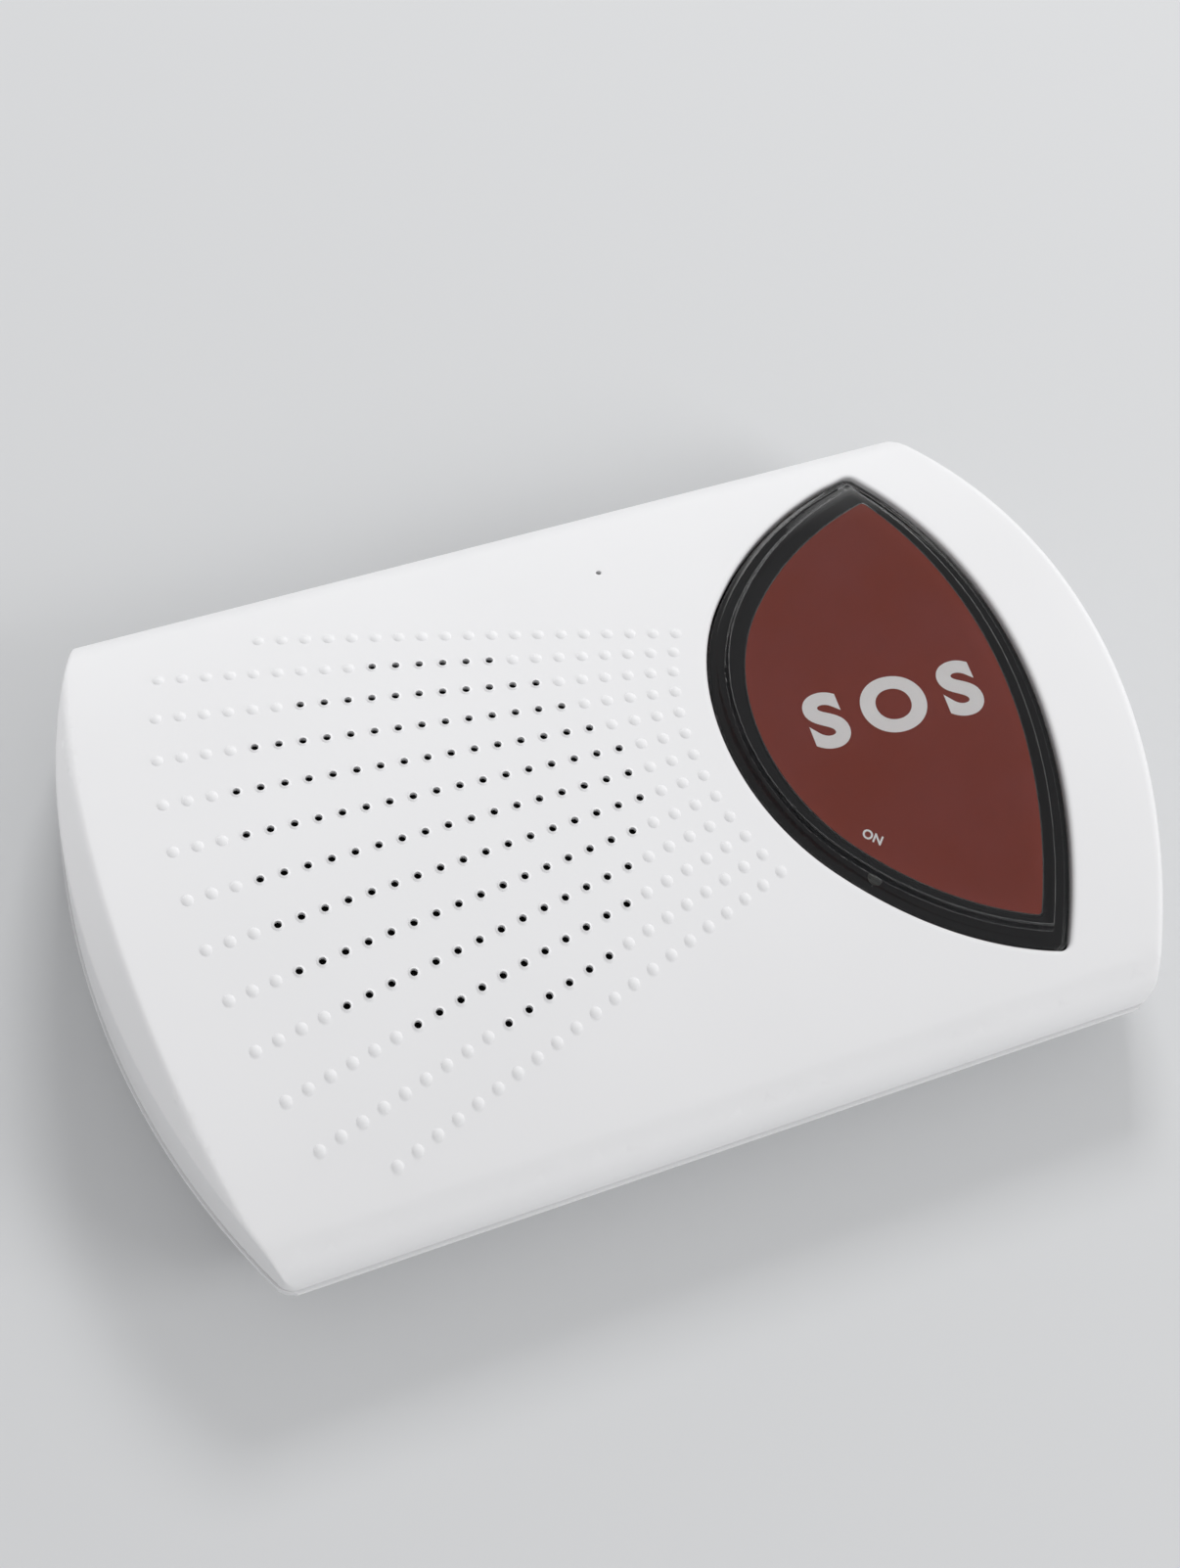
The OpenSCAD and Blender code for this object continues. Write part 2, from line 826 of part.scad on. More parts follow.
module ribbon_sockets() {
  color([0.9, 0.88, 0.8])
    for (k = [[6, 12, board_top, board_top + 4], [panel_x[0], panel_x[0] + 5, press_z, press_z + 2.8]])
      difference() {
        box([k[0], k[1]], [-3, 11], [k[2], k[3]]);
        if (k[2] < press_z)
          box([8.2, 9.8], [-1.2, 9.2], [k[3] - 2.5, 40]);
        else
          box([k[0] - 11, k[0] + 2.5], [-1.2, 9.2], [k[2] + 0.6, k[2] + 2]);
      }
}

module ribbon_cable() {
  z = press_z + 1.3;
  color([0.7, 0.7, 0.72])
    difference() {
      translate([0, 9, 0])
        rotate([90, 0, 0])
          linear_extrude(height = 10) {
            translate([8.6, board_top + 1.7])
              square([0.8, z - board_top - 4.3]);
            translate([11.6, z - 0.4])
              square([panel_x[0] + 2 - 11.6, 0.8]);
            intersection() {
              translate([11.6, z - 2.6])
                difference() {
                  circle(r = 3);
                  circle(r = 2.2);
                }
              translate([8.5, z - 2.6])
                square([3.1, 3.1]);
            }
          }
      box([-1, 0], [0, 1], [0, 1]);
    }
}

// ---- speaker and microphone ----

module speaker_cloth() {
  color([0.08, 0.08, 0.08])
    intersection() {
      rod(speaker_x, 0, 20, 40, 35.4);
      difference() {
        crown(inner_crown);
        crown(inner_crown - 0.5);
      }
    }
}

module speaker_gasket() {
  color([0.15, 0.15, 0.15])
    translate([speaker_x, 0, gasket_low])
      difference() {
        cylinder(r = 37.4, h = ring_low - gasket_low);
        translate([0, 0, -1])
          cylinder(r = 35.7, h = 3);
      }
}

module speaker_basket() {
  color([0.3, 0.3, 0.31])
    translate([speaker_x, 0, 0])
      difference() {
        union() {
          rotate_extrude()
            polygon([[34, 25.4], [38, 25.4], [38, 24.2], [35.5, 24.2], [35.5, 21], [21, basket_low],
              [10.3, basket_low], [10.3, 16.6], [20.2, 16.6], [34, 21.8]]);
          for (a = [45 : 90 : 315])
            difference() {
              rod(ear_reach * cos(a), ear_reach * sin(a), 24.2, 25.4, 3.6);
              rod(0, 0, 20, 30, 36);
            }
        }
        for (a = [45 : 90 : 315])
          rod(ear_reach * cos(a), ear_reach * sin(a), 20, 30, board_thread + 0.3, $fn = 32);
        for (a = [0 : 60 : 300])
          rotate([0, 0, a])
            translate([27, 0, 10])
              cylinder(r = 4.5, h = 13, $fn = 32);
      }
}

module speaker_cone() {
  color([0.13, 0.13, 0.14])
    translate([speaker_x, 0, 0])
      rotate_extrude()
        polygon([[35.4, 25.8], [35.4, 25.4], [33, 25.4], [9.7, 17.2], [9.7, 17.8], [32.8, 25.8]]);
}

module speaker_dust_cap() {
  color([0.1, 0.1, 0.1])
    translate([speaker_x, 0, 9.2])
      difference() {
        sphere(r = 13);
        sphere(r = 12.5);
        translate([0, 0, -15 + 8.9])
          cube([40, 40, 30], center = true);
      }
}

module voice_coil() {
  color([0.7, 0.4, 0.2])
    translate([speaker_x, 0, 12])
      difference() {
        cylinder(r = 9.7, h = 6.1);
        translate([0, 0, -1])
          cylinder(r = 9.2, h = 9);
      }
}

module speaker_yoke() {
  color([0.5, 0.5, 0.52])
    translate([speaker_x, 0, yoke_low]) {
      cylinder(r = 17, h = 1.2);
      cylinder(r = 8.7, h = basket_low - yoke_low);
    }
}

module speaker_magnet() {
  color([0.25, 0.25, 0.27])
    translate([speaker_x, 0, yoke_low + 1.2])
      difference() {
        cylinder(r = 20, h = basket_low - yoke_low - 1.2);
        translate([0, 0, -1])
          cylinder(r = 10.3, h = 9);
      }
}

module speaker_screws() {
  color([0.6, 0.6, 0.62])
    for (a = [45 : 90 : 315])
      screw(speaker_x + ear_reach * cos(a), ear_reach * sin(a), 24.2, board_thread, 4.6, 1.9,
        1.4, true);
}

module speaker_leads() {
  color([0.7, 0.1, 0.1])
    for (x = [-33, -30])
      wire([[x, -33, 11.6], [x, -33, 13.5], [x, -36.7, 13.5], [x, -36.7, 24.2]], 0.6);
}

module speaker_socket() {
  color([0.92, 0.9, 0.84])
    box([-35, -28], [-35.5, -30.5], [board_top, 11.6]);
}

module microphone() {
  color([0.7, 0.7, 0.7])
    rod(mic_x, mic_y, 19.9, 22.6, 3);
}

module microphone_boot() {
  color([0.15, 0.15, 0.15])
    difference() {
      rod(mic_x, mic_y, 19.6, 24.4, 4.15);
      rod(mic_x, mic_y, 19, 22.6, 3.05);
      rod(mic_x, mic_y, 19, 25, 1);
    }
}

module microphone_leads() {
  color([0.1, 0.1, 0.1])
    for (x = [mic_x - 2, mic_x - 0.4])
      wire([[x, mic_y - 0.5, 19.9], [x, mic_y - 0.5, 14], [x, mic_y - 3, 14],
        [x, mic_y - 3, board_top]], 0.4);
}

// ---- battery ----

module battery_cells() {
  color([0.2, 0.45, 0.3])
    for (i = [0 : cell_count - 1])
      translate([cell_x, (i - (cell_count - 1) / 2) * cell_pitch, cell_z])
        rotate([0, 90, 0])
          cylinder(r = cell_d / 2, h = cell_length);
}

module battery_links() {
  color([0.8, 0.8, 0.8])
    for (x = [cell_x - 0.3, cell_x + cell_length])
      for (s = [-1, 1])
        box([x, x + 0.3], [s * cell_pitch - 8, s * cell_pitch + 8], [cell_z - 2.5, cell_z + 2.5]);
}

module battery_sleeve() {
  color([0.15, 0.35, 0.6])
    difference() {
      box([cell_x - 0.6, cell_x + cell_length + 0.6], [-pack_half, pack_half],
        [cell_z - cell_d / 2 - 0.3, cell_z + cell_d / 2 + 0.3]);
      box([cell_x - 2, cell_x + cell_length + 2], [-pack_half + sleeve, pack_half - sleeve],
        [cell_z - cell_d / 2 - 0.05, cell_z + cell_d / 2 + 0.05]);
    }
}

module battery_pad() {
  color([0.2, 0.2, 0.2])
    box([28, 68], [-18, 18], [door_top, pad_top]);
}

module battery_leads() {
  color([0.7, 0.1, 0.1])
    for (y = [-13.2, -10.8])
      wire([[11.5, y, 13.2], [bay[0] + 0.7, y, 13.2], [bay[0] + 0.7, y, 11],
        [cell_x - 0.3, y, 11]], 0.6);
}

module battery_plug() {
  color([0.92, 0.9, 0.84])
    box([4.5, 11.5], [-14.7, -9.3], [12.1, 15.1]);
}

module battery_socket() {
  color([0.92, 0.9, 0.84])
    box([4, 12], [-15.2, -8.8], [board_top, 12.1]);
}

// ---- connectors ----

module power_jack() {
  color([0.1, 0.1, 0.1])
    difference() {
      box([jack_x - 4.5, jack_x + 4.5], [panel_y - 14, panel_y], [board_top, board_top + 9]);
      translate([jack_x, panel_y - jack_depth, jack_z])
        rotate([-90, 0, 0])
          cylinder(r = jack_bore / 2, h = jack_depth + 1);
    }
}

module jack_pin() {
  color([0.8, 0.75, 0.6])
    translate([jack_x, panel_y - jack_depth, jack_z])
      rotate([-90, 0, 0])
        cylinder(r = 1.05, h = jack_depth - 1.5);
}

module power_switch_body() {
  color([0.2, 0.2, 0.2])
    difference() {
      box(switch_box, [panel_y - 6, panel_y], [board_top, board_top + 5.2]);
      box([switch_box[0] + 1.2, switch_box[1] - 1.2], [panel_y - 5, panel_y - 1],
        [knob_z - 1.8, knob_z + 1.8]);
      box([knob_x - 0.2, knob_x + 3 + switch_travel + 0.2], [panel_y - 2, panel_y + 1],
        [knob_z - 1.4, knob_z + 1.4]);
    }
}

module power_switch_slider() {
  color([0.9, 0.9, 0.9]) {
    box([knob_x - 0.8, knob_x + 3.8], [panel_y - 4.7, panel_y - 1.2], [knob_z - 1.6, knob_z + 1.6]);
    box([knob_x, knob_x + 3], [panel_y - 1.4, panel_y + 4.5], [knob_z - 1.2, knob_z + 1.2]);
  }
}

// ---- drawing ----

top_cover();
bottom_cover();
battery_door();
door_screw();
rubber_feet();
case_screws();
rating_label();
button_lens();
button_label();
button_carrier();
status_light_pipe();
button_frame();
button_frame_screws();
button_board();
button_board_screws();
tact_switch_bodies();
tact_switch_stems();
status_led();
main_board();
main_board_screws();
processor_chip();
memory_chip();
capacitors();
power_inductor();
cellular_module();
sim_socket();
sim_card();
pendant_radio();
pendant_antenna();
cellular_antenna();
antenna_cable();
speaker_cloth();
speaker_gasket();
speaker_basket();
speaker_cone();
speaker_dust_cap();
voice_coil();
speaker_yoke();
speaker_magnet();
speaker_screws();
speaker_leads();
speaker_socket();
microphone();
microphone_boot();
microphone_leads();
battery_cells();
battery_links();
battery_sleeve();
battery_pad();
battery_leads();
battery_plug();
battery_socket();
power_jack();
jack_pin();
power_switch_body();
power_switch_slider();
ribbon_cable();
ribbon_sockets();
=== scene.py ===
# %% [markdown]
# # A medical alert base station, dressed over its CAD frame
# The object is a low white case with a crowned roof. A fan of small raised dots marks the
# speaker, and a leaf-shaped red button lies under a clear cap at the right. This file dresses
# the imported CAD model: the plain pieces keep their CAD mesh and get a material, and the pieces
# that the eye rests on are modelled again here with rounded edges and finer detail.

import json
import math

import bmesh
import bpy
from mathutils import Matrix, Vector
from mathutils.geometry import delaunay_2d_cdt


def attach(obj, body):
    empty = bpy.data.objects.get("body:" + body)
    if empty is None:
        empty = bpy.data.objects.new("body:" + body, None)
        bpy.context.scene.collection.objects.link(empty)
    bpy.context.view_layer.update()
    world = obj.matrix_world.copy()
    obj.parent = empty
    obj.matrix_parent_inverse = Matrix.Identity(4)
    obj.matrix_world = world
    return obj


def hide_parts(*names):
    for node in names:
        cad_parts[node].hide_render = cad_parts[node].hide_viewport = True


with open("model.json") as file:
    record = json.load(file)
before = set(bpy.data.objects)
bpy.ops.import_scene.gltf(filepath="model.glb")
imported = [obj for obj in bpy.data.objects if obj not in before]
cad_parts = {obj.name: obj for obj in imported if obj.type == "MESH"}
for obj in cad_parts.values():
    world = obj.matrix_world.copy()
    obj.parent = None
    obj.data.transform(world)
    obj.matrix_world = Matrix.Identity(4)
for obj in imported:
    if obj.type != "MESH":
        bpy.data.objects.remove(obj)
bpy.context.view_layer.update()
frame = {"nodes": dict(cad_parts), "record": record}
nodes = frame["nodes"]
MM = 0.001

# %% [markdown]
# ## The camera
# The photograph looks down on the front left corner from about 60 degrees. The lens and the
# place were worked out by matching the drilled dots, so the picture is 1206 by 1602 pixels
# with a focal length of 2516 pixels. A small shift moves the frame off the lens axis.

# %% Camera
IMAGE_W, IMAGE_H = 1206, 1602
FOCAL_PX = 2516.26
AXIS_PX = (660.15, 782.71)
camera = bpy.data.cameras.new("camera")
camera.sensor_fit = "AUTO"
camera.sensor_width = 36.0
camera.lens = FOCAL_PX * camera.sensor_width / IMAGE_H
camera.shift_x = (IMAGE_W / 2 - AXIS_PX[0]) / IMAGE_H
camera.shift_y = (AXIS_PX[1] - IMAGE_H / 2) / IMAGE_H
camera.clip_start, camera.clip_end = 0.01, 50
eye = bpy.data.objects.new("camera", camera)
bpy.context.collection.objects.link(eye)
eye.location = (-0.11545, -0.15625, 0.40059)
eye.rotation_euler = [math.radians(a) for a in (27.2084, -8.3107, -21.5486)]
bpy.context.scene.camera = eye
bpy.context.scene.view_settings.view_transform = "Standard"
print(f"camera: {camera.lens:.1f} mm lens")

# %% [markdown]
# ## Floor, world and lamps
# A pale floor takes the object's soft shadow. The world is an even white dome that fills the
# shadows. A lamp beyond the back edge shades the near side of the small dots as in the
# photograph, and a larger one at the right opens the front slope. The camera and clear plastic
# see a plain white backdrop. A gloss sees a room instead, with a dim ceiling and a bright band
# above the horizon, so that flat faces of the cap stay dark and its edges catch a line.

# %% Colour and node helpers
def colour(code):
    """An sRGB hex colour as the linear colour that shaders use."""
    parts = [int(code[i : i + 2], 16) / 255 for i in (1, 3, 5)]
    return [c / 12.92 if c <= 0.04045 else ((c + 0.055) / 1.055) ** 2.4 for c in parts] + [1.0]


def add(tree, kind, settings=None, values=None, links=None):
    """Adds a node with its settings, the values of its sockets and its links."""
    made = tree.nodes.new(kind)
    for key, value in (settings or {}).items():
        setattr(made, key, value)
    for key, value in (values or {}).items():
        made.inputs[key].default_value = value
    for key, (source, socket) in (links or {}).items():
        tree.links.new(source.outputs[socket], made.inputs[key])
    return made


# %% World
FILL, BACKDROP = 0.65, 1.0
CEILING, HORIZON = 0.3, 2.5
# the sine of the height at which the bright band begins to fade, and where it has ended
BAND_TOP, BAND_END = 0.12, 0.45
world = bpy.data.worlds.new("studio")
bpy.context.scene.world = world
world.use_nodes = True
tree = world.node_tree
tree.nodes.clear()
path = add(tree, "ShaderNodeLightPath")
plain = add(tree, "ShaderNodeMath", {"operation": "MAXIMUM"},
            links={0: (path, "Is Camera Ray"), 1: (path, "Is Transmission Ray")})
where = add(tree, "ShaderNodeTexCoord")
height = add(tree, "ShaderNodeSeparateXYZ", links={0: (where, "Generated")})
room = add(tree, "ShaderNodeMapRange", {"interpolation_type": "SMOOTHSTEP"},
           values={"From Min": BAND_TOP, "From Max": BAND_END, "To Min": HORIZON,
                   "To Max": CEILING},
           links={"Value": (height, "Z")})
fill = add(tree, "ShaderNodeBackground", values={"Color": colour("#fefeff"), "Strength": FILL})
gloss = add(tree, "ShaderNodeBackground", values={"Color": colour("#ffffff")},
            links={"Strength": (room, 0)})
backdrop = add(tree, "ShaderNodeBackground",
               values={"Color": colour("#ffffff"), "Strength": BACKDROP})
mixed = add(tree, "ShaderNodeMixShader",
            links={0: (path, "Is Glossy Ray"), 1: (fill, 0), 2: (gloss, 0)})
mixed = add(tree, "ShaderNodeMixShader",
            links={0: (plain, 0), 1: (mixed, 0), 2: (backdrop, 0)})
add(tree, "ShaderNodeOutputWorld", links={"Surface": (mixed, 0)})

# %% Lamps
LAMPS = [  # name, place, side in metres, watts; neither shows as a glare in the cap
    ("window_lamp", (0.32, 0.85, 0.80), 0.3, 5.5),
    ("side_lamp", (0.95, -0.75, 0.70), 0.6, 6.0),
]
for name, place, side, watts in LAMPS:
    lamp = bpy.data.lights.new(name, "AREA")
    lamp.shape, lamp.size, lamp.energy = "SQUARE", side, watts
    holder = bpy.data.objects.new(name, lamp)
    bpy.context.collection.objects.link(holder)
    holder.visible_glossy = holder.visible_transmission = False
    holder.location = place
    holder.rotation_euler = (-Vector(place)).to_track_quat("-Z", "Y").to_euler()
print(len(LAMPS), "lamps")

# %% Floor
STAGE_SIDE = 4.0
ground = bmesh.new()
bmesh.ops.create_grid(ground, x_segments=2, y_segments=2, size=STAGE_SIDE)
floor_mesh = bpy.data.meshes.new("floor")
ground.to_mesh(floor_mesh)
ground.free()
floor = bpy.data.objects.new("floor", floor_mesh)
bpy.context.collection.objects.link(floor)
paper = bpy.data.materials.new("pale paper floor")
paper.use_nodes = True
tree = paper.node_tree
tree.nodes.clear()
pale = add(tree, "ShaderNodeBsdfDiffuse", values={"Color": colour("#d0d1d2")})
add(tree, "ShaderNodeOutputMaterial", links={"Surface": (pale, 0)})
floor_mesh.materials.append(paper)

# %% [markdown]
# ## A material for each finish
# Every piece is a moulded, stamped, printed or woven thing, and each of these leaves a slow
# change of tone and a fine grain. One function builds both from noise in object space, so the
# scale is a real size: patch is how wide a change of tone is, and grain is the texture of the
# mould or the tool. Grain finer than a tenth of a millimetre wouldn't show, so it is drawn
# coarser than it really is.

# %% Material builder
def finish(name, tones, rough, patch, grain, depth, fixed=None, stretch=(1, 1, 1)):
    """Two tones, a range of roughness, sizes in mm, and sockets that are the same all over."""
    made = bpy.data.materials.new(name)
    made.use_nodes = True
    tree = made.node_tree
    tree.nodes.clear()
    place = add(tree, "ShaderNodeTexCoord")
    turn = add(tree, "ShaderNodeMapping", values={"Scale": stretch},
               links={"Vector": (place, "Object")})
    slow = add(tree, "ShaderNodeTexNoise", values={"Scale": 1 / (patch * MM), "Detail": 3.0},
               links={"Vector": (turn, 0)})
    fine = add(tree, "ShaderNodeTexNoise", values={"Scale": 1 / (grain * MM), "Detail": 2.0},
               links={"Vector": (turn, 0)})
    tint = add(tree, "ShaderNodeMix", {"data_type": "RGBA"}, links={0: (slow, 0)})
    tint.inputs[6].default_value = colour(tones[0])
    tint.inputs[7].default_value = colour(tones[1])
    gloss = add(tree, "ShaderNodeMapRange",
                values={"To Min": rough[0], "To Max": rough[1]}, links={"Value": (fine, 0)})
    shader = add(tree, "ShaderNodeBsdfPrincipled", values=fixed or {},
                 links={"Base Color": (tint, 2), "Roughness": (gloss, 0)})
    if depth:
        relief = add(tree, "ShaderNodeBump", values={"Strength": 1.0, "Distance": depth * MM},
                     links={"Height": (fine, 0)})
        tree.links.new(relief.outputs[0], shader.inputs["Normal"])
    add(tree, "ShaderNodeOutputMaterial", links={"Surface": (shader, 0)})
    return made


# %% Plastics
FINISHES = {
    # Injection moulded ABS with a satin spark-eroded mould: bright, soft, barely glossy.
    "white_shell": finish("satin white ABS", ("#e9e9ea", "#e4e4e5"), (0.42, 0.5), 40, 0.35, 0.002,
                          {"IOR": 1.53}),
    # Polished polycarbonate of the cap. Its index is below the real 1.58, so that the
    # pale surroundings don't grey the film under it.
    "clear_cap": finish("clear polycarbonate", ("#fdfefe", "#fafcfc"), (0.0, 0.03), 20, 2.0, 0.0,
                        {"IOR": 1.45, "Transmission Weight": 1.0}),
    # Screen-printed polyester under the cap: flat and soft, with a fine print grain.
    "red_print": finish("red printed film", ("#883824", "#8c4743"), (0.6, 0.7), 15, 0.3, 0.0,
                        {"Specular IOR Level": 0.15}),
    # White ink of the letters.
    "white_ink": finish("white ink", ("#ffffff", "#fafafa"), (0.5, 0.6), 4, 0.3, 0.001),
    # Black ABS under the cap, moulded against a polished face.
    "dark_plastic": finish("polished black ABS", ("#19191b", "#1e1e21"), (0.3, 0.4), 12, 0.8,
                           0.0, {"Specular IOR Level": 0.1}),
    # Acrylic light rod, unlit, so it only shows as a dull grey end.
    "clear_rod": finish("frosted acrylic", ("#565c58", "#4c524e"), (0.2, 0.3), 3, 0.4, 0.002,
                        {"IOR": 1.49, "Transmission Weight": 0.6}),
    # Hidden frame in unpainted ABS.
    "grey_plastic": finish("grey ABS", ("#cdcdca", "#c2c2be"), (0.45, 0.6), 20, 0.4, 0.01),
    "black_plastic": finish("black PBT", ("#212123", "#18181a"), (0.4, 0.55), 8, 0.3, 0.01),
    "nylon": finish("natural nylon", ("#e8e2d2", "#ddd5c2"), (0.35, 0.5), 6, 0.4, 0.005,
                    {"Subsurface Weight": 0.1, "Subsurface Scale": 0.001}),
    "red_plastic": finish("red acetal", ("#b52e25", "#a5261e"), (0.3, 0.4), 4, 0.3, 0.004),
    "card_white": finish("laminated card", ("#e9e9e6", "#dddfd9"), (0.25, 0.35), 6, 0.6, 0.001),
    "led_clear": finish("clear epoxy", ("#e6f2cf", "#dcebc4"), (0.05, 0.1), 2, 0.5, 0.0,
                        {"Transmission Weight": 0.7}),
    "cell_wrap": finish("green shrink wrap", ("#2f7a4f", "#276b44"), (0.18, 0.3), 10, 2.0, 0.02),
    "pack_sleeve": finish("blue shrink sleeve", ("#2a5e9c", "#234f87"), (0.15, 0.3), 14, 3.0,
                          0.04),
    "can_sleeve": finish("capacitor sleeve", ("#26304f", "#1e2742"), (0.2, 0.3), 5, 0.8, 0.004),
    "lead_red": finish("red PVC lead", ("#b3211d", "#9f1b18"), (0.3, 0.4), 5, 0.5, 0.004),
    "lead_black": finish("black PVC lead", ("#1b1b1e", "#121214"), (0.3, 0.4), 5, 0.5, 0.004),
    "ribbon": finish("flat cable", ("#c4c4c8", "#9fa0a6"), (0.25, 0.35), 1.0, 0.5, 0.01,
                     stretch=(1, 0.05, 0.05)),
    "chip_black": finish("moulded epoxy", ("#1d1d1e", "#151516"), (0.5, 0.65), 3, 0.15, 0.01),
    "antenna_film": finish("polyimide film", ("#c08a38", "#a8742a"), (0.15, 0.25), 8, 1.0, 0.004),
}

# %% Metals, boards and soft things
FINISHES.update({
    # Zinc-plated steel, turned: bright with fine scratches.
    "zinc_screw": finish("zinc plated steel", ("#b4b6ba", "#9a9ca2"), (0.25, 0.4), 1.5, 0.12,
                         0.003, {"Metallic": 1.0}),
    "shield_steel": finish("tinned steel", ("#c6c7c9", "#b2b4b6"), (0.22, 0.34), 6, 0.25, 0.002,
                           {"Metallic": 1.0}),
    "yoke_steel": finish("nickel plated steel", ("#a2a3a6", "#8b8d90"), (0.25, 0.38), 6, 0.2,
                         0.004, {"Metallic": 1.0}),
    "nickel": finish("nickel strip", ("#cfcdc6", "#bdbbb4"), (0.28, 0.4), 3, 0.2, 0.002,
                     {"Metallic": 1.0}),
    "copper": finish("enamelled copper", ("#b8703f", "#a3592c"), (0.2, 0.3), 2, 0.2, 0.02,
                     {"Metallic": 1.0}),
    "tin_pin": finish("tinned brass", ("#d2c39a", "#c4b382"), (0.15, 0.25), 2, 0.3, 0.002,
                      {"Metallic": 1.0}),
    "basket_steel": finish("black coated steel", ("#3d3e41", "#303134"), (0.4, 0.5), 8, 0.3,
                           0.01),
    "ferrite": finish("sintered ferrite", ("#3a3a3c", "#2d2d30"), (0.6, 0.75), 3, 0.25, 0.02),
    # Solder mask over copper: the traces show as a slightly lighter green, about 1 mm apart.
    "board_green": finish("solder mask", ("#1f5a33", "#2c7444"), (0.2, 0.3), 1.2, 0.6, 0.02,
                          stretch=(1, 0.15, 1)),
    "silver_print": finish("silver label film", ("#d9d9da", "#cccccf"), (0.3, 0.42), 10, 0.4,
                           0.002),
    "black_rubber": finish("black rubber", ("#1e1e1f", "#161617"), (0.75, 0.9), 5, 0.25, 0.02),
    # Acoustic cloth behind the holes: woven threads about 0.3 mm apart.
    "black_cloth": finish("acoustic cloth", ("#161617", "#0c0c0d"), (0.85, 0.95), 0.6, 0.3, 0.08,
                          {"Sheen Weight": 0.3}),
    "foam": finish("closed cell foam", ("#2c2c30", "#1f1f22"), (0.85, 0.95), 1.5, 0.5, 0.12),
    "cone_paper": finish("pressed paper", ("#242426", "#19191b"), (0.75, 0.9), 3, 0.5, 0.06),
})
print(len(FINISHES), "finishes")

# %% [markdown]
# ## Every CAD node gets its finish
# The record says which slot each node belongs to, so one loop dresses them all. A CAD mesh is
# made of loose triangles. A Weld modifier joins them, and a narrow Bevel breaks the moulded
# edges of the pieces that can be seen from outside.

# %% Dress the nodes
for part in frame["record"]["subparts"]:
    mesh = nodes[part["node"]].data
    mesh.materials.clear()
    mesh.materials.append(FINISHES[part["material_slot"]])

EDGES_MM = {"bottom_cover": 0.35, "battery_door": 0.3, "rubber_feet": 0.6, "power_jack": 0.2,
            "power_switch_body": 0.15, "power_switch_slider": 0.2}
for name, width in EDGES_MM.items():
    weld = nodes[name].modifiers.new("join triangles", "WELD")
    weld.merge_threshold = 0.002 * MM
    soften = nodes[name].modifiers.new("soft edges", "BEVEL")
    soften.width, soften.segments, soften.profile = width * MM, 3, 0.5
    soften.limit_method, soften.angle_limit = "ANGLE", math.radians(40)
    soften.harden_normals = False

# %% [markdown]
# ## The plan of the case
# Seen from above the case is two long straight sides, two bowed ends and four small rounded
# corners. The same loop drawn at several insets gives the rings that follow every edge, and
# that is what makes a rounded edge shade cleanly.

# %% Plan loops
HALF_WIDTH, CORNER_R = 60.0, 3.0
ENDS = {1: (-46.4, 139.0), -1: (38.45, 131.0)}


def arc(cx, cy, r, start, stop, steps):
    """Points of an arc, in degrees, without its last one."""
    turn = (stop - start) / steps
    return [(cx + r * math.cos(math.radians(start + turn * i)),
             cy + r * math.sin(math.radians(start + turn * i))) for i in range(steps)]


def plan_loop(inset):
    """The outline of the case, drawn in by inset, anticlockwise."""
    half, r = HALF_WIDTH - inset, max(CORNER_R - inset, 0.4)
    loop, long_side = [], 44
    for side, turn in ((1, 0), (-1, 180)):
        centre, radius = ENDS[side]
        cy = half - r
        cx = math.sqrt((radius - inset - r) ** 2 - cy ** 2)
        swing = math.degrees(math.atan2(cy, cx))
        loop += arc(centre + side * cx, -side * cy, r, turn - 90, turn - swing, 8)
        loop += arc(centre, 0, radius - inset, turn - swing, turn + swing, 64)
        loop += arc(centre + side * cx, side * cy, r, turn + swing, turn + 90, 8)
        far_centre, far_radius = ENDS[-side]
        start = centre + side * cx
        stop = far_centre - side * math.sqrt((far_radius - inset - r) ** 2 - cy ** 2)
        loop += [(start + (stop - start) * i / long_side, side * half) for i in range(long_side)]
    return loop


def end_inset(x, y):
    """How far a point is inside the nearer end or corner, and the way out from it."""
    side = 1 if x > 0 else -1
    centre, radius = ENDS[side]
    cy = HALF_WIDTH - CORNER_R
    cx = math.sqrt((radius - CORNER_R) ** 2 - cy ** 2)
    vx, vy = side * (x - centre) - cx, abs(y) - cy
    if vx > 0 and vy * cx > vx * cy:
        off = math.hypot(vx, vy)
        return CORNER_R - off, side * vx / off, math.copysign(vy / off, y)
    off = math.hypot(x - centre, y)
    return radius - off, (x - centre) / off, y / off


print(len(plan_loop(0)), "points in a plan loop")

# %% [markdown]
# ## The height of the roof
# The roof is a crown of 128 mm radius that rolls over into 11 mm radii along the front and the
# back. A bowed bevel cuts its left end. The ridge between the two isn't sharp on a moulded
# case, so the lower of both heights is taken with a soft change from one to the other. The
# edges above the end walls get their own radius: small on the left, larger on the right.

# %% Roof height
CROWN_R, CROWN_Z = 128.0, -92.0
EDGE_R, EDGE_Y, EDGE_Z = 11.0, 49.0, 14.245
TANGENT_Y = 53.607
BEVEL_R, BEVEL_Z, BEVEL_RISE, BEVEL_X = 117.0, 31.16, 1.1, -92.55
BEVEL_N = math.hypot(1, BEVEL_RISE)
RIDGE_SOFT = 0.6
END_EDGE_R = {-1: 0.8, 1: 2.0}


def crown(y, radius=CROWN_R):
    return CROWN_Z + math.sqrt(radius * radius - y * y)


